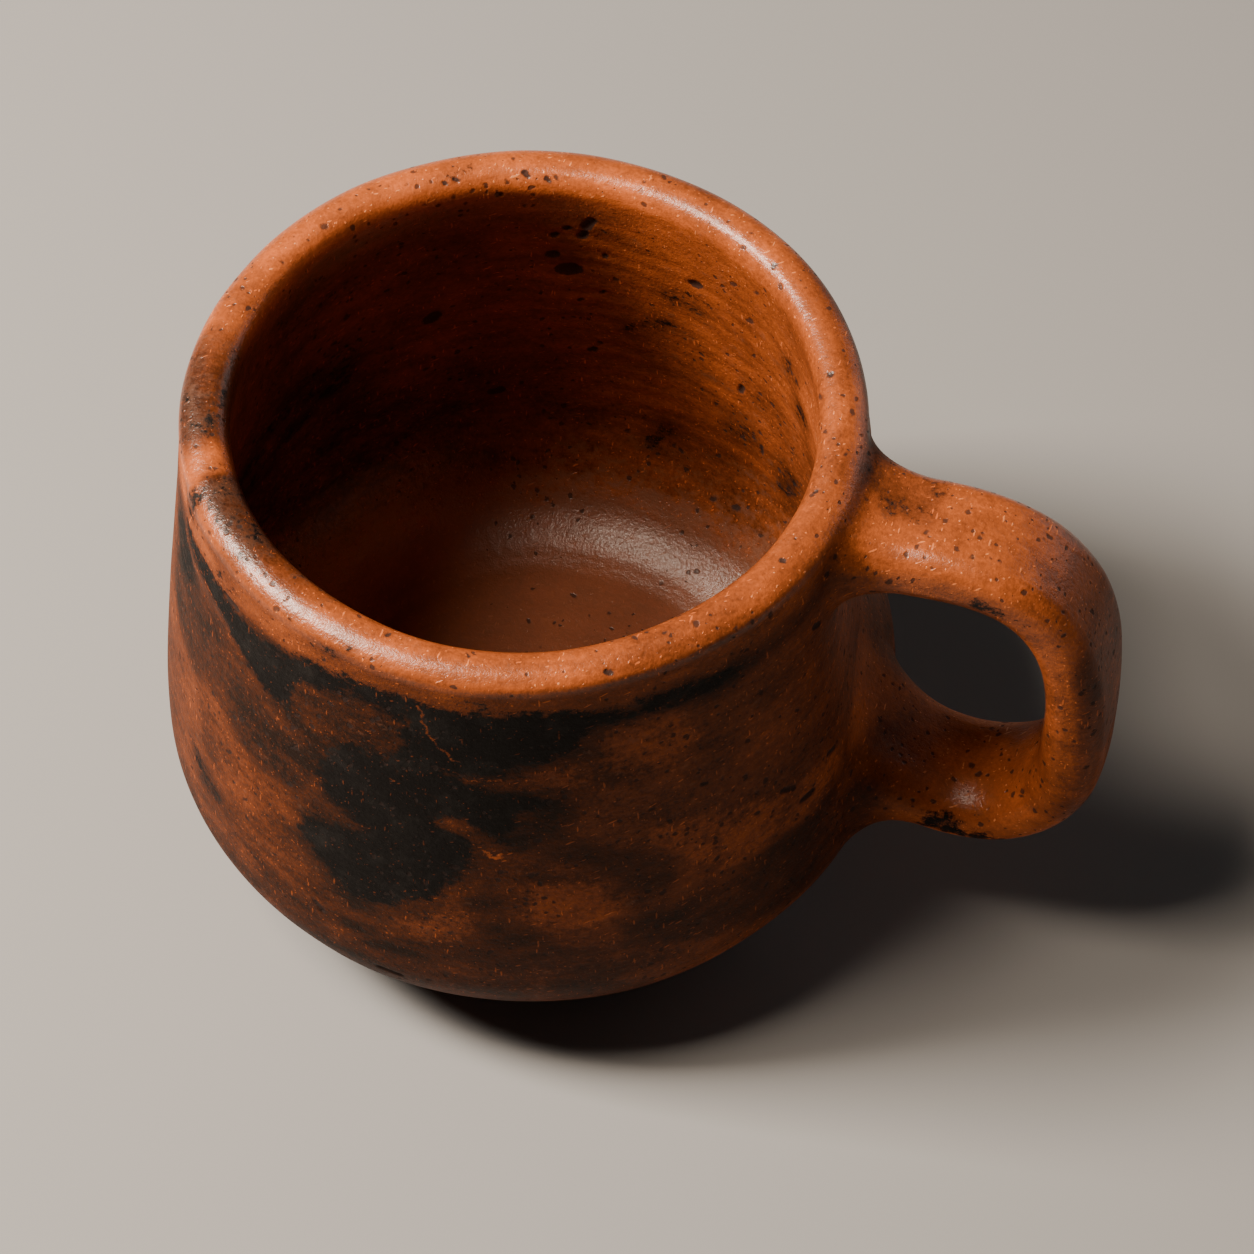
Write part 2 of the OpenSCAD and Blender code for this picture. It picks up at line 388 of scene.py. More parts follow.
FIRE_CLOUDS = [
    (2.6, [(-92, 79.3), (-84, 79), (-74, 79.2), (-62, 78.8), (-57, 78.2), (-57, 75.8), (-60.5, 75.2),
        (-63, 73.6), (-65, 71.6), (-68, 70), (-71, 69.2), (-74.5, 68.9), (-76.5, 67), (-80, 66.2),
        (-84, 66.6), (-90, 66)]),
    (0.5, [(-59, 78.6), (-52, 78.2), (-44, 77.8), (-38, 77), (-37, 76), (-45, 75.2), (-52, 76),
        (-59, 75.4)]),
    (1.8, [(-146, 77.5), (-140, 76.8), (-134.6, 77.6), (-129, 76.4), (-123.6, 76.4), (-115.1, 76.2),
        (-109, 78.4), (-103, 79.4), (-92, 79.5), (-92, 74.5), (-97, 75.8), (-103, 75.6), (-107, 74),
        (-111, 72.6), (-113, 70.5), (-112.5, 67.5), (-116, 65.2), (-120.8, 66.8), (-126, 70.4),
        (-132, 72.8), (-138, 73.6), (-143.6, 74.6)]),
    (1.7, [(-104, 64), (-102, 66.5), (-98, 67.3), (-94, 67), (-92.5, 69), (-93, 73), (-90, 75), (-88, 72),
        (-86, 67.5), (-82, 65.5), (-76, 63.8), (-71, 63.8), (-68.5, 63), (-69.5, 61), (-73.5, 60),
        (-75, 57.5), (-76, 54.8), (-78.5, 55.4), (-81, 57), (-84, 58.4), (-87, 57), (-85, 55.4),
        (-82.5, 55), (-80.5, 53), (-80.8, 51), (-82.5, 48.5), (-84.5, 45.5), (-86, 43), (-88, 40.6),
        (-91.5, 39.4), (-94, 37.6), (-97, 35.6), (-100.5, 35), (-103, 36.8), (-105.5, 39.6), (-108, 41.6),
        (-110.5, 43.8), (-110, 46.5), (-106.5, 48.6), (-102, 49.8), (-98.5, 51), (-101.5, 52.6),
        (-105, 54.4), (-106.6, 57.4), (-106, 61)]),
    (0.0, [(-138, 37.4), (-133, 36.8), (-128.5, 35.8), (-129.5, 33), (-133.5, 32), (-136.5, 33.5)]),
    (0.2, [(-152, 74), (-146, 71.5), (-142, 69.5), (-144, 66.4), (-149, 66), (-154, 69)]),
    (0.9, [(112, 58), (120, 63), (131, 68), (142, 70), (149, 64), (147, 57), (153, 51), (163, 47),
        (166, 41), (158, 37), (148, 39), (140, 34), (131, 37), (134, 44), (128, 49), (118, 50)]),
    (0.2, [(84, 79), (98, 79.4), (114, 79), (126, 78), (124, 76), (112, 75.4), (101, 74), (92, 74.6),
        (85, 76.6)]),
    (0.3, [(160, 33), (170, 36), (180, 35), (192, 37), (199, 33), (194, 28), (184, 27), (175, 24),
        (166, 27)]),
    (-0.5, [(46, 34), (52, 40), (58, 41), (64, 47), (71, 45), (72, 39), (66, 36), (68, 31), (60, 29),
        (54, 32)]),
]
SMOKE_STAINS = [
    (0.8, [(-118, 65), (-112, 70), (-107, 73.5), (-96, 74), (-92, 69), (-97, 66.6), (-104, 64.6),
        (-109, 59)]),
    (1.0, [(-74, 57), (-66, 56), (-60, 52.4), (-54, 49.8), (-50, 46), (-49.5, 41), (-52, 36), (-57, 36),
        (-56.4, 41), (-58.6, 45), (-64, 48.6), (-70, 50.8), (-75, 53)]),
    (1.2, [(-60, 36), (-50, 36.6), (-40, 37.6), (-28, 37.4), (-14, 38), (-4, 36), (6, 30), (8, 24),
        (-10, 19), (-30, 21), (-45, 26), (-58, 31)]),
    (0.6, [(-104, 30), (-96, 31.6), (-88, 33.4), (-80, 34.6), (-73, 36.4), (-69, 33), (-78, 30.5),
        (-86, 28), (-94, 25.5), (-100, 26)]),
    (0.6, [(-83, 46), (-78, 46.5), (-76, 40), (-77, 33), (-81.5, 34)]),
    (1.0, [(-28, 27), (-18, 28.5), (-9, 25), (-12, 20), (-24, 19.5)]),
    (1.4, [(-70, 63.8), (-64, 62), (-66, 56), (-74, 55), (-75, 60)]),
    (1.0, [(-46, 79.4), (-36, 79), (-22, 79.8), (-14, 80), (-12, 77), (-22, 75.4), (-36, 75), (-46, 75)]),
    (3.2, [(-158, 74), (-149, 73.5), (-142, 72), (-134, 71), (-126, 68), (-119, 64), (-112, 62), (-108, 58),
        (-110, 52), (-118, 50), (-126, 52), (-134, 54), (-142, 53), (-148, 52), (-153, 60)]),
    (1.2, [(100, 70), (116, 72), (130, 70), (154, 66), (160, 50), (158, 36), (146, 28), (128, 30),
        (112, 44), (104, 56)]),
    (1.2, [(40, 34), (52, 50), (66, 50), (74, 40), (66, 27), (48, 26)]),
    (1.6, [(164, 44), (178, 48), (196, 44), (200, 30), (190, 18), (172, 18), (164, 28)]),
]
ORANGE_GLOWS = [
    (2.2, [(-72, 45.4), (-66, 46.8), (-60, 43.6), (-58.5, 38.6), (-62, 35.8), (-68, 36), (-72.4, 39)]),
    (1.6, [(-96, 30.4), (-88, 36.8), (-81, 38.4), (-80.4, 34.6), (-86, 32.5), (-92, 29.2)]),
    (-0.8, [(-106, 72.4), (-98, 72.8), (-94, 71), (-95, 68), (-101, 68.2), (-108, 69.4)]),
    (1.6, [(-77, 66.4), (-70, 68.4), (-65, 68.6), (-64, 65.8), (-71, 64.4), (-76, 64.8)]),
    (1.0, [(-54, 53), (-40, 51), (-30, 47), (-18, 45), (-15, 39.6), (-28, 38.6), (-42, 39.2), (-48, 44)]),
    (1.0, [(-60, 74.5), (-48, 74.6), (-44, 68), (-50, 64), (-60, 68)]),
    (0.8, [(-88.6, 58.6), (-83.6, 58.2), (-83, 57.2), (-88, 57)]),
    (1.4, [(70, 66), (80, 70), (86, 62), (82, 54), (72, 55)]),
    (1.6, [(134, 48), (142, 49), (145, 43), (138, 40)]),
    (1.4, [(20, 50), (34, 56), (40, 46), (30, 38), (20, 41)]),
]
# The same on the lip, the handle and the inside: the two ends of a run, its radius and how deep it gets
LIP_CLOUDS = runs_on(on_lip, [
    (-172, 100, -164, 86, 1.3, -0.6),
    (-145.4, 112, -137, 98, 1.1, -0.5),
    (-143.6, 42, -143.4, 2, 1.1, 0.0),
    (-124, 104, -119, 96, 1.2, -1.0),
    (-112.5, 34, -109, 18, 1.4, -0.9),
    (-104.5, 33, -106.8, 0, 1.4, -0.9),
    (-140, 100, -126, 96, 1.3, -1.0),
    (118, 60, 134, 50, 1.6, -1.2),
    (-174, 110, -158, 80, 2.4, -0.6),
    (-145, 112, -129, 100, 2.0, -0.6),
    (-126, 100, -112, 88, 1.6, -1.4),
    (28, 20, 44, 10, 1.5, -1.4),
]) + runs_on(on_wall, [
    (-131, 79.6, -128, 79.4, 0.8, -0.2),
    (-82, 79.8, -78, 79.9, 0.8, -0.8),
])
HANDLE_STAINS = [
    (Vector((46.5, 7, 80)), Vector((51, 4, 81)), 4.6, 0.7),
    (Vector((78.6, -7, 66)), Vector((79, -7, 58)), 1.8, 1.0),
    (Vector((66, 3, 33)), Vector((60, 5, 33)), 3.5, 1.2),
]
HANDLE_CLOUDS = [
    (Vector((63.5, -8, 75.5)), Vector((65.5, -8, 75)), 0.8, 0.6),
    (Vector((60, -8.8, 24.6)), Vector((70, -8.2, 23.4)), 1.3, 0.7),
    (Vector((48.5, 6.5, 80)), Vector((52, 4, 81)), 4.2, -0.9),
    (Vector((74, 8, 62)), Vector((78, 7, 54)), 2.4, 0.3),
    (Vector((66, 8.5, 22)), Vector((72, 8, 26)), 2.2, 0.3),
]
INSIDE_CLOUDS = runs_on(inside_wall, [
    (41, 62, 42.6, 57.4, 1.3, 0.0),
    (42, 70, 44, 68, 1.5, -0.2),
    (73, 63.4, 78, 62, 1.5, -0.4),
    (80.6, 54.2, 89, 50, 0.4, 0.1),
    (54, 33, 54.6, 28, 1.3, -0.2),
    (64, 35, 68, 33.6, 1.1, -0.3),
    (82, 26, 85, 21.6, 0.7, 0.0),
    (150, 50, 176, 40, 6, -0.4),
])

# Where the outlines' angles start; they run on from here all the way round
CLOUDS_START = -158
# How far from the axis the wall is unrolled to lay the outlines on it
UNROLLED_R = 50
# The depth of a place that lies in no cloud or pit
CLEAR_OF_CLOUDS = -8.0
CLEAR_OF_PITS = -1.0


def inside_cup(form):
    return np.hypot(form[:, 0], form[:, 1]) < wall_rs(form[:, 2]) - INSIDE_BY


def depth_inside(outline, angle, height):
    """How deep each point lies inside an outline drawn on the unrolled wall; negative outside."""
    across = np.radians(angle) * UNROLLED_R
    corners = [(radians(a) * UNROLLED_R, z) for a, z in outline]
    inside = np.zeros(len(across), bool)
    nearest = np.full(len(across), 1e6)
    for (ax, az), (bx, bz) in zip(corners, corners[1:] + corners[:1]):
        dx, dz = bx - ax, bz - az
        along = np.clip(((across - ax) * dx + (height - az) * dz) / (dx * dx + dz * dz), 0, 1)
        nearest = np.minimum(nearest, np.hypot(across - ax - along * dx, height - az - along * dz))
        if dz:
            crosses = (az > height) != (bz > height)
            inside ^= crosses & (across < ax + dx * (height - az) / dz)
    return np.where(inside, nearest, -nearest)


def cloud_depth(form, outlines, runs=()):
    """How deep each point of the cup lies in a set of clouds, capped at each cloud's own depth."""
    angle = np.degrees(np.arctan2(form[:, 1], form[:, 0]))
    angle = np.where(angle < CLOUDS_START, angle + 360, angle)
    outside = ~inside_cup(form)
    depth = np.full(len(form), CLEAR_OF_CLOUDS)
    for cap, outline in outlines:
        for shift in (0, 360):
            drawn = [(a + shift, z) for a, z in outline]
            here = np.minimum(depth_inside(drawn, angle, form[:, 2]), cap)
            depth = np.where(outside, np.maximum(depth, here), depth)
    for start, end, radius, cap in runs:
        here = np.minimum(radius - run_distance(form, [start, end]), cap)
        depth = np.maximum(depth, here)
    return depth


def line_depth(form, lines):
    """How deep each point lies within the reach of a set of lines."""
    depth = np.full(len(form), CLEAR_OF_PITS)
    for line, radius in lines:
        depth = np.maximum(depth, radius - run_distance(form, line))
    return depth


# How brightly the clay fired, from 0, smoked, to 1, the palest orange: by angle round the cup on the
# wall and the lip, and by height inside and on the strap. Some rows also carry painted light and shade:
# the step from the paler floor to the darker low wall inside, the paler lip ridge under its highlight,
# and the paler lower arm and lower joint, which the cup keeps from the main lamp.

WALL_FIRING = [
    (-180, 0.34), (-150, 0.31), (-125, 0.25), (-100, 0.22), (-75, 0.22), (-40, 0.31), (0, 0.37), (60, 0.34),
    (120, 0.34), (180, 0.34),
]
UNDER_LIP_FIRING = [
    (-180, 0.42), (-150, 0.68), (-146, 0.44), (-135, 0.52), (-120, 0.54), (-105, 0.46), (-95, 0.42),
    (-60, 0.42), (-20, 0.46), (60, 0.50), (120, 0.52), (180, 0.42),
]
LIP_FIRING = [
    (-180, 0.48), (-172, 0.31), (-163, 0.27), (-156, 0.33), (-151, 0.58), (-147.5, 0.64), (-145, 0.24),
    (-135, 0.28), (-125, 0.38), (-115, 0.51), (-105, 0.56), (-90, 0.56), (0, 0.56), (130, 0.67), (165, 0.67),
    (180, 0.52),
]
# The ridge's paler clay is partly a painted highlight under its shine
LIP_RIDGE_FIRING_AND_HIGHLIGHT = [(-180, 0.58), (-156, 0.58), (-150, 0.62), (-112, 0.62), (-104, 0.57), (180, 0.57)]
# Inside, the step from the paler floor to the darker low wall at the bend is painted light and shade
INSIDE_FIRING_AND_PAINTED_LIGHT = [
    (7, 0.66), (9, 0.64), (11.5, 0.44), (16, 0.36), (30, 0.40), (45, 0.48), (60, 0.54), (80, 0.55),
]
# Low down the strap is much paler: painted light on the lower arm, which the cup keeps from the main lamp
STRAP_FIRING_AND_PAINTED_LIGHT = [(15, 0.94), (28, 0.84), (40, 0.53), (60, 0.47), (74, 0.54), (80, 0.60)]
UPPER_JOINT_FIRING = 0.56
# The lower joint is paler, partly as painted light where the cup keeps the main lamp off it
LOWER_JOINT_FIRING_AND_PAINTED_LIGHT = 0.60

# How much grey-brown ash dulls the clay, by angle on the lip and by height inside
LIP_ASH = [
    (-180, 0.20), (-174, 0.34), (-166, 0.42), (-158, 0.34), (-152, 0.10), (-147.5, 0.0), (-145, 0.36),
    (-134, 0.36), (-120, 0.26), (-108, 0.12), (-98, 0.05), (150, 0.0), (175, 0.05), (180, 0.20),
]
INSIDE_ASH = [(8, 1.2), (11, 0.8), (16, 0.35), (30, 0.12), (76, 0.12), (80, 0)]

# How much the stone polished the inside, by height, and the least polish on the strap
INSIDE_POLISH = [(16, 0.9), (28, 0.15), (74, 0.15), (80, 1.0)]
LEAST_POLISH = 0.1

# From the coil's lap on, the lip is smoked only on its top, and its outer ridge stays bright; the ridge's
# paler clay is partly a painted highlight where its shine falls
LAP_BACK = -150
RIDGE_ROLL, TOP_ROLL = 56, 78


def rim_share(form):
    """1 on the lip's rounded top, from its ridge inwards, and 0 down the sides."""
    x, y, z = form.T
    return np.where(np.hypot(x, y) > LIP_MIDDLE_R, ramp(z, 82.9, 83.8), ramp(z, 79.5, 83))


def fired_and_painted_light_share(form):
    """How bright each place fired, from 0, smoked, to 1, the palest orange, with painted light and shade in
    places.
    """
    x, y, z = form.T
    angle = np.degrees(np.arctan2(y, x))
    r = np.hypot(x, y)
    # The front of the wall is darker towards the foot
    wall = read_off(WALL_FIRING, angle) - 0.10 * ramp(z, 40, 20) * ramp(angle, -40, -70)
    wall = wall + (read_off(UNDER_LIP_FIRING, angle) - wall) * ramp(z, 76, 79)
    # Painted shade: the inner wall on the lamps' side faces away from them and is darkened here above the
    # floor
    painted_shade_side = np.clip(np.cos(np.radians(angle - 180)) + 0.1, 0, 1)
    inside = read_off(INSIDE_FIRING_AND_PAINTED_LIGHT, z) - 0.22 * painted_shade_side * ramp(z, 10, 18)
    share = np.where(inside_cup(form), inside, wall)

    rim = read_off(LIP_FIRING, angle)
    # Painted highlight in part: the outer ridge is paler where its shine falls
    ridge_and_highlight = np.maximum(read_off(LIP_RIDGE_FIRING_AND_HIGHLIGHT, angle), rim)
    on_ridge = ramp(lip_roll(r, z), TOP_ROLL, RIDGE_ROLL)
    rim = np.where(angle > LAP_BACK, rim + (ridge_and_highlight - rim) * on_ridge, rim)
    share = share + (rim - share) * rim_share(form)

    by_upper_joint = ramp(x, 38, 46) * ramp(np.abs(y), 16, 0) * ramp(z, 62, 70)
    share = np.maximum(share, UPPER_JOINT_FIRING * by_upper_joint)
    # Paler lower joint: partly painted light, as the cup shades it
    by_lower_joint = ramp(x, 40, 47) * ramp(np.abs(y), 17.6, 6.6) * ramp(z, 50, 40)
    share = np.where(r > 47, np.maximum(share, LOWER_JOINT_FIRING_AND_PAINTED_LIGHT * by_lower_joint), share)
    # Painted light on the lower arm comes from the table; the strap's outer face is darker
    strap = read_off(STRAP_FIRING_AND_PAINTED_LIGHT, z) - 0.16 * ramp(x, 76, 81)
    return share + (strap - share) * ramp(r - wall_rs(z), 2, 9)


def ashy_share(form):
    """Where grey-brown ash dulls the clay: the smoky lip and the floor inside."""
    x, y, z = form.T
    angle = np.degrees(np.arctan2(y, x))
    on_top = ramp(lip_roll(np.hypot(x, y), z), RIDGE_ROLL, TOP_ROLL)
    share = read_off(LIP_ASH, angle) * rim_share(form) * np.where(angle > LAP_BACK, on_top, 1)
    return np.where(inside_cup(form), np.maximum(share, read_off(INSIDE_ASH, z)), share)


def polish_share(form):
    """Where the burnishing stone shone the clay: the lip, the strap and the floor inside."""
    x, y, z = form.T
    on_strap = ramp(np.hypot(x, y) - wall_rs(z), 1, 7)
    on_strap = on_strap * (1 - 0.85 * ramp(x, 73, 77) * ramp(z, 30, 38))
    on_strap = on_strap * np.maximum(ramp(np.abs(y), 8.8, 7), LEAST_POLISH)
    near_side = np.maximum(ramp(y, -1.5, -4), LEAST_POLISH)
    on_strap = on_strap * np.where(z < 45, near_side, 1)
    inside = inside_cup(form) * read_off(INSIDE_POLISH, z)
    return np.maximum(np.maximum(on_strap, inside), ramp(z, 82, 83.8))


def keep_attribute(mesh, name, values):
    kind, key = ("FLOAT_VECTOR", "vector") if values.ndim > 1 else ("FLOAT", "value")
    layer = mesh.attributes.new(name, kind, "POINT")
    layer.data.foreach_set(key, values.astype(np.float32).ravel())


# The clay


class Recipe:
    """Puts a material's nodes together."""

    def __init__(self, name):
        self.material = bpy.data.materials.new(name)
        self.material.use_nodes = True
        self.tree = self.material.node_tree
        self.shader = self.tree.nodes["Principled BSDF"]

    def put(self, socket, value):
        if isinstance(value, bpy.types.NodeSocket):
            self.tree.links.new(value, socket)
        else:
            socket.default_value = value

    def surface(self, inputs):
        for key, value in inputs.items():
            self.put(self.shader.inputs[key], value)

    def node(self, kind, settings, inputs):
        node = self.tree.nodes.new(kind)
        for key, value in settings.items():
            setattr(node, key, value)
        for key, value in inputs.items():
            self.put(node.inputs[key], value)
        return node

    def maths(self, operation, *values):
        inputs = dict(enumerate(values))
        return self.node("ShaderNodeMath", {"operation": operation}, inputs).outputs[0]

    def vectors(self, operation, *values):
        inputs = dict(enumerate(values))
        return self.node("ShaderNodeVectorMath", {"operation": operation}, inputs).outputs[0]

    def scaled(self, vector, by):
        return self.node("ShaderNodeVectorMath", {"operation": "SCALE"}, {0: vector, "Scale": by}).outputs[0]

    def share(self, value, low, high, start=0.0, end=1.0):
        """Takes a value from low..high to start..end with soft ends."""
        inputs = {"Value": value, "From Min": low, "From Max": high, "To Min": start, "To Max": end}
        settings = {"interpolation_type": "SMOOTHSTEP"}
        return self.node("ShaderNodeMapRange", settings, inputs).outputs[0]

    def plus(self, base, *parts):
        """A base and amounts of other things, which are given as pairs."""
        for part, amount in parts:
            base = self.maths("MULTIPLY_ADD", part, amount, base)
        return base

    def swing(self, noise):
        """A noise that goes up and down about 0 instead of about a half."""
        return self.maths("SUBTRACT", noise, 0.5)

    def mix(self, share, a, b):
        settings = {"data_type": "RGBA", "clamp_factor": True}
        return self.node("ShaderNodeMix", settings, {0: share, 6: a, 7: b}).outputs[2]

    def noise(self, place, size, detail=3.0, rough=0.55):
        """Noise whose largest lumps are about size across, from 0 to 1."""
        inputs = {"Vector": place, "Scale": 1 / size, "Detail": detail, "Roughness": rough}
        return self.node("ShaderNodeTexNoise", {}, inputs).outputs[0]

    def stretched(self, place, along, turn=(0, 0, 0), offset=(0, 0, 0)):
        """Draws a pattern out along the axes after a turn."""
        turn = [radians(a) for a in turn]
        inputs = {"Vector": place, "Scale": along, "Rotation": turn, "Location": offset}
        return self.node("ShaderNodeMapping", {"vector_type": "TEXTURE"}, inputs).outputs[0]

    def attribute(self, name, output="Fac"):
        return self.node("ShaderNodeAttribute", {"attribute_name": name}, {}).outputs[output]

    def colours(self, share, stops):
        """A run of colours, each from its own place on."""
        ramp_node = self.node("ShaderNodeValToRGB", {}, {"Fac": share})
        elements = ramp_node.color_ramp.elements
        while len(elements) < len(stops):
            elements.new(0.5)
        for element, (at, colour) in zip(elements, stops):
            element.position, element.color = at, colour
        return ramp_node.outputs[0]

    def specks(self, place, cell, radius, present):
        """Scattered specks of up to a radius, in the given share of the cells."""
        cells = self.node("ShaderNodeTexVoronoi", {}, {"Vector": place, "Scale": 1 / cell})
        parts = self.node("ShaderNodeSeparateColor", {}, {0: cells.outputs["Color"]})
        size = self.maths("POWER", parts.outputs[1], 2.0)
        reach = self.maths("MULTIPLY_ADD", size, 0.75 * radius / cell, 0.25 * radius / cell)
        nearness = self.maths("DIVIDE", cells.outputs["Distance"], reach)
        there = self.maths("LESS_THAN", parts.outputs[0], present)
        return self.maths("MULTIPLY", self.share(nearness, 0.55, 1.0, 1.0, 0.0), there)


FIRING_COLOURS = [
    (0.00, (0.014, 0.0055, 0.0028, 1)),
    (0.20, (0.074, 0.0180, 0.0048, 1)),
    (0.40, (0.190, 0.0450, 0.0115, 1)),
    (0.60, (0.370, 0.0850, 0.0185, 1)),
    (0.80, (0.600, 0.1400, 0.0320, 1)),
    (1.00, (0.780, 0.2700, 0.0950, 1)),
]
ASHY_CLAY = (0.158, 0.068, 0.039, 1)
SOOT = (0.0055, 0.0050, 0.0050, 1)
ASH = (0.026, 0.023, 0.021, 1)
IRON_SPECK = (0.030, 0.020, 0.018, 1)


def clay_patterns(recipe):
    """The noises that the clay's colours and skin share. All but the skin's own go about 0."""
    place = recipe.node("ShaderNodeTexCoord", {}, {}).outputs["Object"]
    place = recipe.scaled(place, 1 / MM)
    ruffle = recipe.node("ShaderNodeTexNoise", {}, {"Vector": place, "Scale": 1 / 1.4, "Detail": 3.0})
    ruffle = recipe.vectors("SUBTRACT", ruffle.outputs["Color"], (0.5, 0.5, 0.5))

    # Strokes run round the cup on the wall, and along the strap on the handle
    plan = recipe.vectors("MULTIPLY", place, (1, 1, 0))
    ring = recipe.node("ShaderNodeVectorMath", {"operation": "LENGTH"}, {0: plan}).outputs["Value"]
    round_cup = recipe.node("ShaderNodeTexNoise", {"noise_dimensions": "4D"}, {
        "Vector": recipe.vectors("MULTIPLY", place, (1 / 6, 1 / 6, 1)), "W": ring,
        "Scale": 0.55, "Detail": 4.0, "Roughness": 0.65,
    }).outputs[0]
    along_strap = recipe.noise(recipe.attribute("along_strap", "Vector"), 1.8, 4.0, 0.65)
    strokes = recipe.node("ShaderNodeMix", {"data_type": "FLOAT"}, {
        0: recipe.attribute("on_strap"), 2: round_cup, 3: along_strap,
    }).outputs[0]

    grain = recipe.noise(place, 0.5, 3.0, 0.7)
    grit = recipe.noise(recipe.vectors("ADD", place, (3, 1, 8)), 1.1, 3.0, 0.75)
    feather = recipe.noise(recipe.stretched(place, (1.5, 1.5, 0.8)), 3.2, 5.0, 0.62)
    patches = recipe.noise(recipe.stretched(place, (1.6, 1.6, 0.8)), 6, 4.0, 0.6)
    return SimpleNamespace(
        place=place,
        ruffled=recipe.vectors("ADD", place, recipe.scaled(ruffle, 1.2)),
        bent=recipe.vectors("ADD", place, recipe.scaled(ruffle, 0.35)),
        skin_grain=grain,
        skin_strokes=strokes,
        grain=recipe.swing(grain),
        strokes=recipe.swing(strokes),
        grit=recipe.swing(grit),
        feather=recipe.swing(feather),
        patches=recipe.swing(patches),
        broad=recipe.swing(recipe.noise(place, 20, 2.0)),
    )


def iron_specks(recipe, clay):
    """Dark round and long grains, crowded in some places and fewer where ash lies."""
    few = recipe.share(recipe.noise(clay.place, 16, 2.0), 0.36, 0.66, 0.15, 0.65)
    few = recipe.plus(few, (recipe.attribute("on_strap"), 0.10), (recipe.attribute("ashy"), -0.28))
    rounds = recipe.specks(clay.ruffled, 1.2, 0.58, few)
    dashes = recipe.specks(recipe.stretched(clay.ruffled, (1, 1, 2.4), (28, 35, 0)), 1.9, 0.62, few)
    return recipe.maths("MAXIMUM", rounds, dashes)


def straw_flecks(recipe, clay):
    """Fine pale dashes that lie three ways."""
    flecks = 0.0
    for i, turn in enumerate([(0, 0, 20), (80, 12, 0), (8, 70, 40)]):
        straw = recipe.stretched(clay.bent, (1, 1, 5.5), turn, (7 * i, 3 * i, 5 * i))
        flecks = recipe.maths("MAXIMUM", flecks, recipe.specks(straw, 0.75, 0.185, 1.0))
    return flecks


def ragged(recipe, clay, mark, feather, strokes, grit, low, high):
    """A mark with its edge broken up by noise, from 0 outside it to 1 well inside."""
    noises = (clay.feather, feather), (clay.strokes, strokes), (clay.grit, grit)
    return recipe.share(recipe.plus(recipe.attribute(mark), *noises), low, high)


def burnished_clay():
    """Pit-fired clay that was polished with a stone: its colours, its skin and its shine."""
    recipe = Recipe("burnished_clay")
    clay = clay_patterns(recipe)
    specks = iron_specks(recipe, clay)
    straw = straw_flecks(recipe, clay)
    polish = recipe.attribute("polish")
    scar = recipe.share(recipe.plus(recipe.attribute("scar"), (clay.grain, 1.1)), -0.05, 0.2)
    pit = recipe.plus(recipe.attribute("pit"), (clay.grain, 0.6), (clay.grit, 1.2))
    pit = recipe.share(pit, -0.2, 0.15)
    soot = ragged(recipe, clay, "soot", 4.0, 3.2, 5.0, -0.7, 0.7)

    # How brightly the clay fired, with the painted light and shade that some places carry
    fired_and_painted_light = recipe.plus(
        recipe.attribute("fired_and_painted_light"),
        (clay.broad, 0.32),
        (clay.patches, 0.52),
        (clay.strokes, 0.30),
        (clay.grain, 0.40),
        (clay.grit, 0.40),
        (ragged(recipe, clay, "glow", 5.0, 3.0, 6.0, -1.1, 1.8), 0.16),
        (ragged(recipe, clay, "stain", 6.0, 3.5, 6.0, -1.3, 2.0), -0.18),
        (ragged(recipe, clay, "soot", 6.0, 0, 6.0, -3.8, 0.6), -0.12),
        (straw, 0.34),
        (scar, 0.42),
    )
    colour = recipe.colours(fired_and_painted_light, FIRING_COLOURS)

    # What lies on it: ash, soot that straw and scars break through, iron specks and dark pits
    ashy = recipe.plus(recipe.attribute("ashy"), (recipe.maths("ADD", clay.feather, clay.grit), 1.5))
    colour = recipe.mix(recipe.share(ashy, 0.15, 0.85, 0.0, 0.8), colour, ASHY_CLAY)
    bared = recipe.maths("MULTIPLY", recipe.maths("MAXIMUM", straw, scar), 0.45)
    cover = recipe.maths("MULTIPLY", soot, recipe.maths("SUBTRACT", 1.0, bared))
    grey = recipe.share(recipe.noise(clay.ruffled, 5.0, 5.0, 0.7), 0.45, 0.75, 0.0, 0.6)
    colour = recipe.mix(cover, colour, recipe.mix(grey, SOOT, ASH))
    colour = recipe.mix(recipe.maths("MULTIPLY", specks, 0.8), colour, IRON_SPECK)
    colour = recipe.mix(recipe.maths("MULTIPLY", pit, 0.92), colour, IRON_SPECK)

    rough = recipe.share(clay.skin_grain, 0.3, 0.7, 0.50, 0.62)
    rough = recipe.plus(rough, (polish, -0.08), (soot, 0.08), (specks, 0.2), (pit, 0.25))

    height = recipe.maths("MULTIPLY", clay.skin_grain, 0.06)
    height = recipe.plus(height, (clay.grit, 0.12), (clay.skin_strokes, 0.08))
    height = recipe.maths("MULTIPLY", height, recipe.plus(1.0, (polish, -0.15)))
    height = recipe.plus(height, (specks, -0.05), (straw, 0.03))
    bump_inputs = {"Strength": 1.0, "Distance": MM, "Height": height}
    bump = recipe.node("ShaderNodeBump", {}, bump_inputs).outputs[0]

    # The burnished skin shines like a thin coat, less where specks and soot break it
    shine = recipe.maths("MULTIPLY", polish, 0.95)
    for part in (specks, soot):
        shine = recipe.maths("MULTIPLY", shine, recipe.plus(1.0, (part, -0.6)))
    recipe.surface({
        "Base Color": colour, "Roughness": rough, "Normal": bump, "IOR": 1.2,
        "Specular Tint": (1.0, 0.80, 0.66, 1), "Coat Weight": shine, "Coat Normal": bump,
        "Coat Roughness": 0.29, "Coat IOR": 1.5,
    })
    return recipe.material


CLAY = burnished_clay()


# How much longer the burnisher's strokes are than wide
STROKE_STRETCH = 5


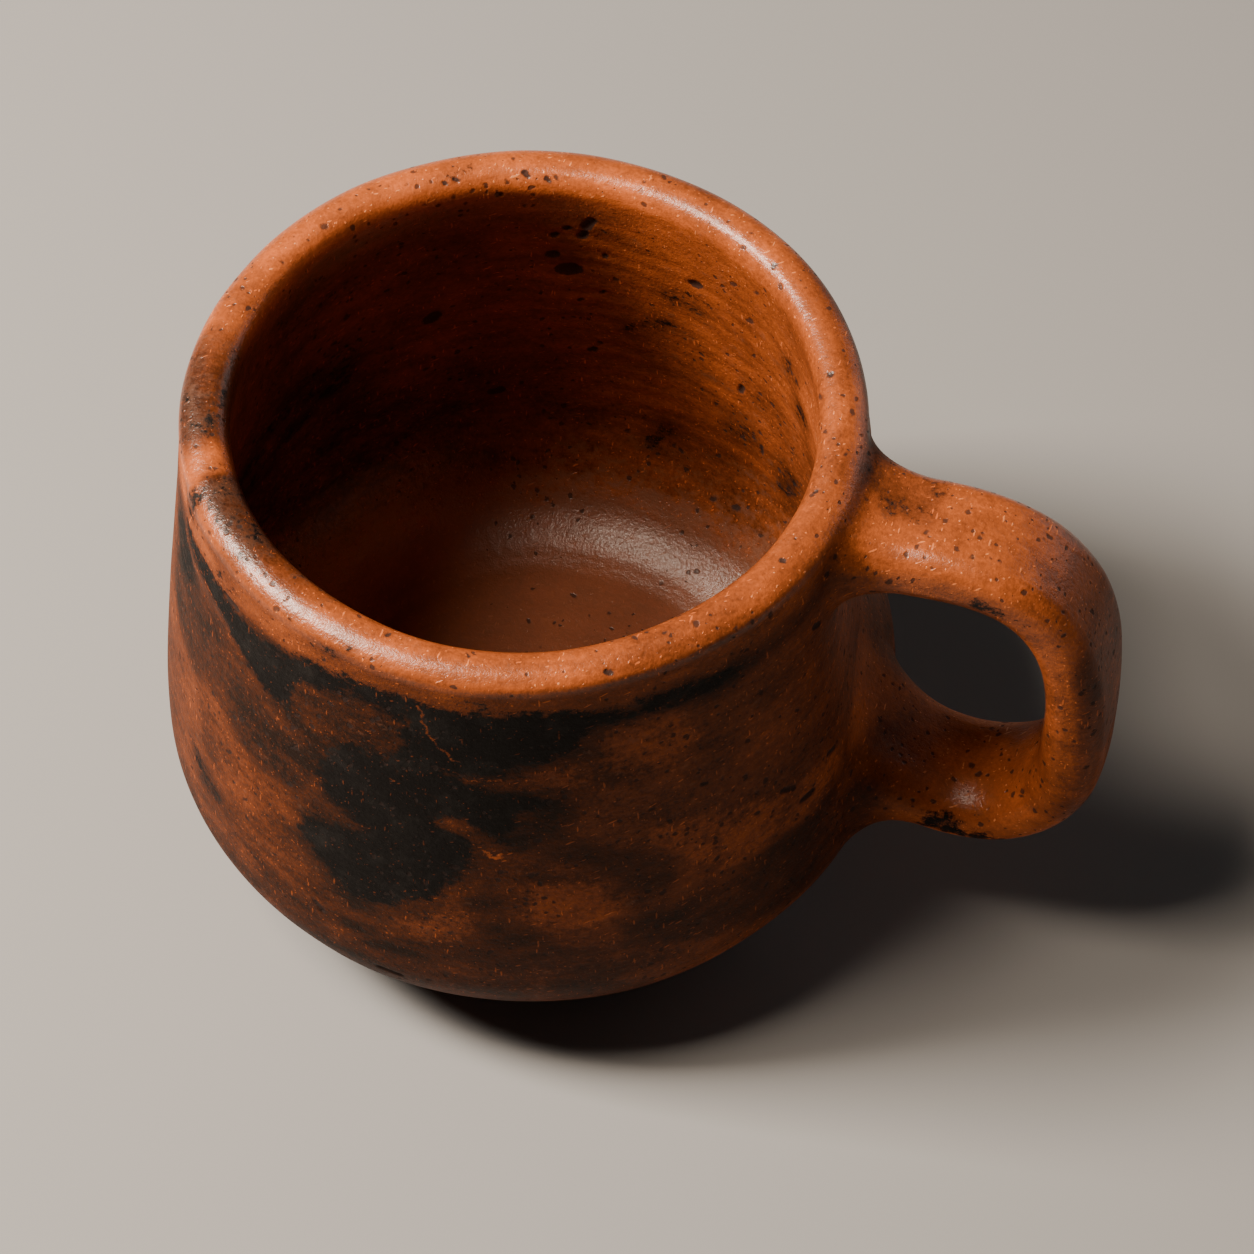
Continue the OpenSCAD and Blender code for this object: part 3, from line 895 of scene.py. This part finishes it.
def along_the_strap(form):
    """Places counted across the strap and along it, where strokes are as long as wide."""
    frames = zip(*[strap_frame(i) for i in range(STRAP_STATIONS)])
    middles, along, out = (np.array(part) for part in frames)
    nearest = np.argmin(((form[:, None, :] - middles[None, :, :]) ** 2).sum(axis=2), axis=1)
    gap = form - middles[nearest]
    length = np.array(STRAP_RUN)[nearest] + (gap * along[nearest]).sum(axis=1)
    return np.stack([(gap * out[nearest]).sum(axis=1), form[:, 1], length / STROKE_STRETCH], axis=1)


def clay_marks(form, on_strap):
    """What the clay's material reads at each point of the plain form."""
    marks = {
        "fired_and_painted_light": fired_and_painted_light_share(form),
        "ashy": ashy_share(form),
        "polish": polish_share(form),
        "soot": cloud_depth(form, FIRE_CLOUDS, LIP_CLOUDS + HANDLE_CLOUDS + INSIDE_CLOUDS),
        "stain": cloud_depth(form, SMOKE_STAINS, HANDLE_STAINS),
        "glow": cloud_depth(form, ORANGE_GLOWS),
        "pit": line_depth(form, [([start, end], radius) for start, end, radius, depth in PITS]),
        "scar": line_depth(form, SCARS),
    }
    if on_strap:
        off_wall = np.hypot(form[:, 0], form[:, 1]) - wall_rs(form[:, 2])
        marks["along_strap"] = along_the_strap(form)
        marks["on_strap"] = ramp(off_wall, 0, 7)
    return marks


def finish_piece(name, bm, nodes, shapings, on_strap=False):
    """Shapes a piece by hand, colours it, and sets it in the frame in place of its plain solids."""
    form = np.array([v.co for v in bm.verts])
    for vert in bm.verts:
        place = vert.co.copy()
        for shaping in shapings:
            vert.co += shaping(place)
    bmesh.ops.scale(bm, vec=(MM, MM, MM), verts=bm.verts)
    for face in bm.faces:
        face.smooth = True
    mesh = bpy.data.meshes.new(name)
    bm.to_mesh(mesh)
    bm.free()
    for mark, values in clay_marks(form, on_strap).items():
        keep_attribute(mesh, mark, values)
    mesh.materials.append(CLAY)
    piece = put_in_scene(name, mesh)
    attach(piece, "root")
    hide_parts(*nodes)


def out_of_clay(p):
    """The way out of the clay at a point of the cup's surface."""
    r = off_axis(p)
    away = Vector((p.x, p.y, 0)) / r
    if p.z > LIP_Z:
        return (p - away * LIP_MIDDLE_R - Vector((0, 0, LIP_Z))).normalized()
    return -away if r < wall_r(p.z) - INSIDE_BY else away


def dent_pits(p):
    """The pits' hollows, sunk into the clay with soft edges."""
    for start, end, radius, depth in PITS:
        if (p - start).length < radius + PIT_REACH:
            step = end - start
            along = min(max((p - start).dot(step) / max(step.length_squared, 1e-9), 0), 1)
            off = (p - start - along * step).length
            if off < radius * PIT_EDGE:
                share = 1 - smooth_share(off, radius * PIT_FLOOR, radius * PIT_EDGE)
                return -out_of_clay(p) * PIT_SINK * depth * share
    return Vector()


# The cup's body and its lip

FOOT_STEPS = 9
FLOOR_STEPS = 16
DOUBLINGS = 3
FINE_FACE_AREA = 0.02


def outline_wire(bm):
    """The section of the whole wall, from the middle of the foot to the middle of the floor."""
    foot = [Vector((FOOT_R * i / FOOT_STEPS, 0, 0)) for i in range(FOOT_STEPS)]
    floor = [Vector((FOOT_R * (1 - i / FLOOR_STEPS), 0, FLOOR_Z)) for i in range(1, FLOOR_STEPS + 1)]
    line = foot + curve(OUTER_LOW, 40) + curve(OUTER_HIGH, 74)[1:] + LIP_LINE[1:-1]
    line += curve(INNER_HIGH, 64) + curve(INNER_LOW, 30)[1:] + floor
    verts = [bm.verts.new(p) for p in line]
    for a, b in zip(verts, verts[1:]):
        bm.edges.new((a, b))


def cut_at_seam(bm, keep_lip):
    """Keeps the part above or below the coil's seam, and closes it with the flat seam."""
    geometry = bm.verts[:] + bm.edges[:]
    bmesh.ops.bisect_plane(
        bm, geom=geometry, dist=1e-5, plane_co=(0, 0, SEAM_Z), plane_no=(0, 0, 1),
        clear_inner=keep_lip, clear_outer=not keep_lip,
    )
    ends = [v for v in bm.verts if abs(v.co.z - SEAM_Z) < 1e-3]
    seam = bm.edges.new(ends)
    bmesh.ops.subdivide_edges(bm, edges=[seam], cuts=5)


def turn_on_wheel(bm):
    """Spins an eighth of the wall, then doubles it three times to the full turn."""
    turn = 2 * pi / 2**DOUBLINGS
    geometry = bm.verts[:] + bm.edges[:]
    bmesh.ops.spin(
        bm, geom=geometry, cent=(0, 0, 0), axis=(0, 0, 1), dvec=(0, 0, 0),
        angle=turn, steps=STEPS_ROUND // 2**DOUBLINGS, use_merge=False,
    )
    for _ in range(DOUBLINGS):
        copied = bmesh.ops.duplicate(bm, geom=bm.verts[:] + bm.edges[:] + bm.faces[:])["geom"]
        verts = [g for g in copied if isinstance(g, bmesh.types.BMVert)]
        bmesh.ops.rotate(bm, verts=verts, cent=(0, 0, 0), matrix=Matrix.Rotation(turn, 3, "Z"))
        turn *= 2
    bmesh.ops.remove_doubles(bm, verts=bm.verts, dist=1e-3)
    bmesh.ops.recalc_face_normals(bm, faces=bm.faces)


def refine_near(bm, lines, reach, cuts):
    """Gives the mesh finer faces along marks, so their shape holds."""
    faces = [f for f in bm.faces if f.calc_area() > FINE_FACE_AREA]
    middles = np.array([f.calc_center_median() for f in faces])
    near = np.zeros(len(faces), bool)
    for line in lines:
        near |= run_distance(middles, line) < reach
    edges = dict.fromkeys(e for f, keep in zip(faces, near) if keep for e in f.edges)
    bmesh.ops.subdivide_edges(bm, edges=list(edges), cuts=cuts, use_grid_fill=True)


def sharpen_seam(bm):
    """Keeps the flat seam's shading off the wall beside it."""
    for edge in bm.edges:
        if all(abs(v.co.z - SEAM_Z) < 1e-3 for v in edge.verts):
            flat = [abs(f.normal.z) > 0.9 for f in edge.link_faces]
            if any(flat) and not all(flat):
                edge.smooth = False


def cup_piece(name, keep_lip):
    """The body below the coil's seam, or the lip coil above it."""
    bm = bmesh.new()
    outline_wire(bm)
    cut_at_seam(bm, keep_lip)
    turn_on_wheel(bm)
    sharpen_seam(bm)
    pit_lines = [[start, end] for start, end, radius, depth in PITS]
    refine_near(bm, pit_lines, 1.4, 2)
    refine_near(bm, FINE_LINES, 0.9, 2)
    shapings = [hand_wander, press_at_handle, lip_lap, throwing_ridges, dent_pits]
    finish_piece(name, bm, [name], shapings)


cup_piece("cup_body", False)
cup_piece("lip_coil", True)


# The strap

# Its section goes round as four rounded corners with straight sides between them. Each of its
# points is a share towards the outer face, a share sideways, and its angle round the corner.
CORNERS = [(1, 1), (-1, 1), (-1, -1), (1, -1), (1, 1)]
CORNER_STEPS = 12
SHORT_SIDE_STEPS, LONG_SIDE_STEPS = 4, 20
SECTION = []
for corner, ((n, y), (next_n, next_y)) in enumerate(zip(CORNERS, CORNERS[1:])):
    SECTION += [(n, y, radians(90 * (corner + step / CORNER_STEPS))) for step in range(CORNER_STEPS + 1)]
    steps = SHORT_SIDE_STEPS if corner in (0, 2) else LONG_SIDE_STEPS
    for j in range(1, steps):
        to_n, to_y = (next_n - n) * j / steps, (next_y - y) * j / steps
        SECTION.append((n + to_n, y + to_y, radians(90 * corner + 90)))
STRAP_POINTS = len(SECTION)
OVAL_POWER = 2.3
# How far the strap's ends run on into the wall
STRAP_INTO_WALL = 2
STRAP_SHAPINGS = [hand_wander, press_at_handle]


def section_point(k, width, outer_t, inner_t, edge_r, oval=0.0):
    """Point k of the strap's section, towards its outer face and sideways, from box-like to oval."""
    n_share, y_share, a = SECTION[k]
    half_t = outer_t if n_share > 0 else inner_t
    edge_r = min(edge_r, half_t - 0.3)
    n = n_share * (half_t - edge_r) + edge_r * cos(a)
    y = y_share * (width / 2 - edge_r) + edge_r * sin(a)
    depth = outer_t if n > 0 else inner_t
    reach = (abs(n / depth) ** OVAL_POWER + abs(2 * y / width) ** OVAL_POWER) ** (1 / OVAL_POWER)
    shrink = 1 + (1 / reach - 1) * oval
    return n * shrink, y * shrink


def strap_width(i):
    return float(read_off(STRAP_WIDTHS, STRAP_RUN[i]))


def strap_point(i, k, sunk=0.0, back=0.0):
    """Point k of the strap's skin at a station, or sunk below the skin or back along the strap."""
    middle, run, outward = strap_frame(i)
    along = STRAP_RUN[i]
    outer_t = STRAP_T / 2 + float(read_off(STRAP_SWELL, along)) - sunk
    inner_t = outer_t - float(read_off(THUMB_THINNING, along))
    oval = float(read_off(STRAP_OVAL, along))
    n, y = section_point(k, strap_width(i) - 2 * sunk, outer_t, inner_t, STRAP_EDGE_R - sunk, oval)
    return middle - run * back + outward * n + Vector((0, y, 0))


def first_ring(bm, number):
    """A closed ring of edges, numbered so that the rings drawn from it keep their order."""
    ring = bmesh.ops.create_circle(bm, segments=STRAP_POINTS, radius=1)["verts"]
    for k, vert in enumerate(ring):
        vert[number] = k
    return dict.fromkeys(ring)


def rim_edges(ring):
    """The edges that join a ring's own vertices."""
    return list(dict.fromkeys(e for v in ring for e in v.link_edges if all(w in ring for w in e.verts)))


def draw_out(bm, ring, number, place_of):
    """Extrudes a ring and sets the new one by its numbers."""
    made = bmesh.ops.extrude_edge_only(bm, edges=rim_edges(ring))["geom"]
    new = dict.fromkeys(g for g in made if isinstance(g, bmesh.types.BMVert))
    for vert in new:
        vert.co = place_of(vert[number])
    return new


def pull_strap():
    """Draws the strap out ring by ring, from inside the upper joint to inside the lower one."""
    bm = bmesh.new()
    number = bm.verts.layers.int.new("number")
    ring = first_ring(bm, number)
    for vert in ring:
        vert.co = strap_point(0, vert[number], back=STRAP_INTO_WALL)
    bmesh.ops.contextual_create(bm, geom=rim_edges(ring))
    for i in range(STRAP_STATIONS):
        ring = draw_out(bm, ring, number, lambda k: strap_point(i, k))
    ring = draw_out(bm, ring, number, lambda k: strap_point(LAST, k, back=-STRAP_INTO_WALL))
    bmesh.ops.contextual_create(bm, geom=rim_edges(ring))
    bmesh.ops.recalc_face_normals(bm, faces=bm.faces)
    finish_piece("handle", bm, ["handle"], STRAP_SHAPINGS, on_strap=True)


pull_strap()


# The collars of joint clay


def wall_place(p):
    """A point as sideways place, height, and how far it stands off the wall."""
    return Vector((p.y, p.z, off_axis(p) - wall_r(p.z)))


def from_wall_place(q):
    r = wall_r(q.y) + q.z
    return Vector((sqrt(r * r - q.x * q.x), q.x, q.y))


# How deep a collar's start and lining lie in the strap, and its foot in the wall, and its rings
COLLAR_UNDER_STRAP = 0.03
LINING_DEPTH = 1
FOOT_DEPTH = 0.04
FOOT_END_DEPTH = 0.9
SKIN_RINGS = 30
LINING_RINGS = (0, 0.3, 0.6, 0.9)


def smear_joint(name, root, end, spread_out, spread_in, spread_side):
    """A collar that runs from the strap out onto the wall, hollow where the strap passes through."""
    bm = bmesh.new()
    number = bm.verts.layers.int.new("number")
    middle, _, outward = strap_frame(root)
    half_t = STRAP_T / 2
    towards_wall = strap_frame(end)[1] * (1 if end < root else -1)
    root_w = strap_width(root)
    round_r = STRAP_EDGE_R + 0.7 * min(spread_out, spread_in, spread_side)

    def skin(k, t):
        """Leaves the strap along the strap's own line and comes down flat on the wall."""
        start = strap_point(end, k, sunk=COLLAR_UNDER_STRAP)
        n, y = section_point(k, root_w, half_t, half_t, STRAP_EDGE_R)
        corner = Vector((y, middle.z + n / outward.z, 0.0))
        n, y = section_point(k, root_w + 2 * spread_side, half_t + spread_out, half_t + spread_in, round_r)
        foot = Vector((y, middle.z + n / outward.z, -FOOT_DEPTH))
        outside = 0.5 + 0.5 * cos(SECTION[k][2])
        reach = (from_wall_place(corner) - start).length * (0.60 - 0.04 * outside)
        a, b = wall_place(start), wall_place(start + towards_wall * reach)
        c = foot.lerp(corner, 0.74 - 0.14 * outside)
        u = 1 - t
        return from_wall_place(u**3 * a + 3 * u * u * t * b + 3 * u * t * t * c + t**3 * foot)

    def sunk_foot(k):
        foot = wall_place(skin(k, 1))
        return from_wall_place(Vector((foot.x, foot.y, -FOOT_END_DEPTH)))

    def lining(k, t):
        """Runs back inside the strap from its root to the collar's start."""
        station = root + (end - root) * t
        low, share = int(station), station - int(station)
        high = min(low + 1, LAST)
        return strap_point(low, k, sunk=LINING_DEPTH).lerp(strap_point(high, k, sunk=LINING_DEPTH), share)

    ring = first_ring(bm, number)
    for vert in ring:
        vert.co = skin(vert[number], 0)
    for i in range(1, SKIN_RINGS + 1):
        ring = draw_out(bm, ring, number, lambda k: skin(k, i / SKIN_RINGS))
    ring = draw_out(bm, ring, number, sunk_foot)
    for t in LINING_RINGS:
        ring = draw_out(bm, ring, number, lambda k: lining(k, t))
    open_edges = [e for e in bm.edges if len(e.link_faces) == 1]
    bmesh.ops.bridge_loops(bm, edges=open_edges)
    bmesh.ops.recalc_face_normals(bm, faces=bm.faces)
    finish_piece(name, bm, [name], STRAP_SHAPINGS, on_strap=True)


smear_joint("upper_handle_joint", 0, station_at(8.5), 4.2, 4.2, 5)
smear_joint("lower_handle_joint", LAST, LAST - station_at(9.5), 6.5, 4.2, 5)


# The floor, the lights and the air

FLOOR_HALF_SIZE = 3
LIGHTS_LOOK_AT = Vector((0, 0, 0.05))


def pale_floor():
    bm = bmesh.new()
    bmesh.ops.create_grid(bm, x_segments=1, y_segments=1, size=FLOOR_HALF_SIZE)
    mesh = bpy.data.meshes.new("studio_floor")
    bm.to_mesh(mesh)
    bm.free()
    recipe = Recipe("floor_paint")
    recipe.surface({"Base Color": (0.350, 0.348, 0.345, 1), "Roughness": 0.8})
    mesh.materials.append(recipe.material)
    floor = put_in_scene("studio_floor", mesh)


def softbox(name, turn, rise, distance, side, power, colour=(1, 1, 1)):
    """A square light that looks at the cup from an angle round it and an angle above the floor."""
    data = bpy.data.lights.new(name, "AREA")
    data.shape = "RECTANGLE"
    data.size = data.size_y = side
    data.energy = power
    data.color = colour
    lamp = put_in_scene(name, data)
    turn, rise = radians(turn), radians(rise)
    away = Vector((cos(turn) * cos(rise), sin(turn) * cos(rise), sin(rise)))
    lamp.location = LIGHTS_LOOK_AT + away * distance
    lamp.rotation_euler = away.to_track_quat("Z", "Y").to_euler()


def studio_air(strength):
    """Faint light from all round."""
    world = bpy.data.worlds.new("studio_air")
    world.use_nodes = True
    air = world.node_tree.nodes["Background"]
    air.inputs["Color"].default_value = (1.0, 0.95, 0.9, 1)
    air.inputs["Strength"].default_value = strength
    bpy.context.scene.world = world


pale_floor()
softbox("window_light", -165, 48, 0.75, 0.18, 12.4, (1.0, 0.87, 0.74))
softbox("high_soft_light", -150, 67, 0.80, 0.19, 3.8, (1.0, 0.84, 0.68))
softbox("back_fill", 50, 16, 1.1, 0.6, 1.0)
studio_air(0.02)
